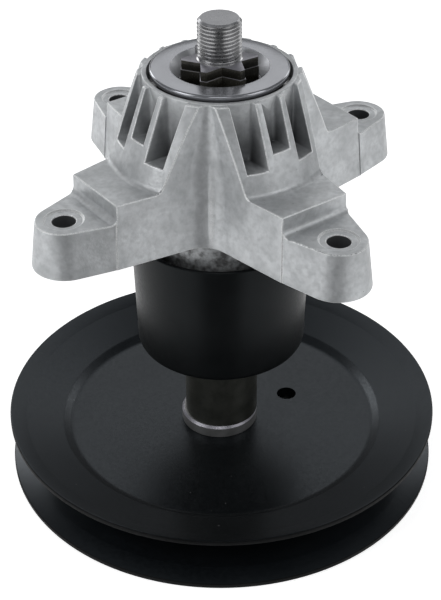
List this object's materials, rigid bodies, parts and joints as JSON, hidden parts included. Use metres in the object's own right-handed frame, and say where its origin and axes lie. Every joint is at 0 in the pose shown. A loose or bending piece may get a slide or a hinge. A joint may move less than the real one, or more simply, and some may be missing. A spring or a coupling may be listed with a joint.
{
  "type": "mower deck spindle assembly",
  "caption": "Blade spindle for a ride-on mower deck: eared cast housing with ribbed cone, shaft in sealed bearings with a star blade drive and threaded end, dust cup and belt pulley.",
  "frame": {"origin": "on the spindle axis, level with the pulley's lower rim that the part stands on", "axes": "+Z along the spindle axis towards the blade end, ears at 45 degrees to X and Y"},
  "size_m": [0.172, 0.172, 0.1895],
  "materials": {
    "cast_aluminium": "as cast",
    "dark_steel": "oxide",
    "satin_steel": "satin",
    "bright_steel": "turned",
    "black_paint": "satin",
    "seal_rubber": "matte",
    "cage_nylon": "matte"
  },
  "bodies": {
    "housing_body": {"housing": "cast_aluminium", "lower_bearing_outer_race": "bright_steel", "lower_bearing_lower_seal": "seal_rubber", "lower_bearing_upper_seal": "seal_rubber", "upper_bearing_outer_race": "bright_steel", "upper_bearing_lower_seal": "seal_rubber", "upper_bearing_upper_seal": "seal_rubber"},
    "spindle": {"spindle_shaft": "dark_steel", "blade_seat": "satin_steel", "bearing_spacer": "dark_steel", "dust_cup": "black_paint", "pulley_spacer": "dark_steel", "collar": "bright_steel", "pulley_upper_half": "black_paint", "pulley_lower_half": "black_paint", "pulley_nut": "bright_steel", "lower_bearing_inner_race": "bright_steel", "upper_bearing_inner_race": "bright_steel"},
    "lower_ball_set": {"lower_bearing_balls": "bright_steel", "lower_bearing_cage": "cage_nylon"},
    "upper_ball_set": {"upper_bearing_balls": "bright_steel", "upper_bearing_cage": "cage_nylon"}
  },
  "joints": [
    {"name": "spindle_spin", "type": "hinge", "parent": "housing_body", "child": "spindle", "pos_m": [0, 0, 0.11145], "axis": [0, 0, 1], "continuous": true},
    {"name": "lower_balls_roll", "type": "hinge", "parent": "housing_body", "child": "lower_ball_set", "pos_m": [0, 0, 0.0659], "axis": [0, 0, 1], "continuous": true},
    {"name": "upper_balls_roll", "type": "hinge", "parent": "housing_body", "child": "upper_ball_set", "pos_m": [0, 0, 0.157], "axis": [0, 0, 1], "continuous": true}
  ],
  "couplings": [
    {"joint": "lower_balls_roll", "follows": "spindle_spin", "ratio": 0.3969},
    {"joint": "upper_balls_roll", "follows": "spindle_spin", "ratio": 0.3969}
  ]
}
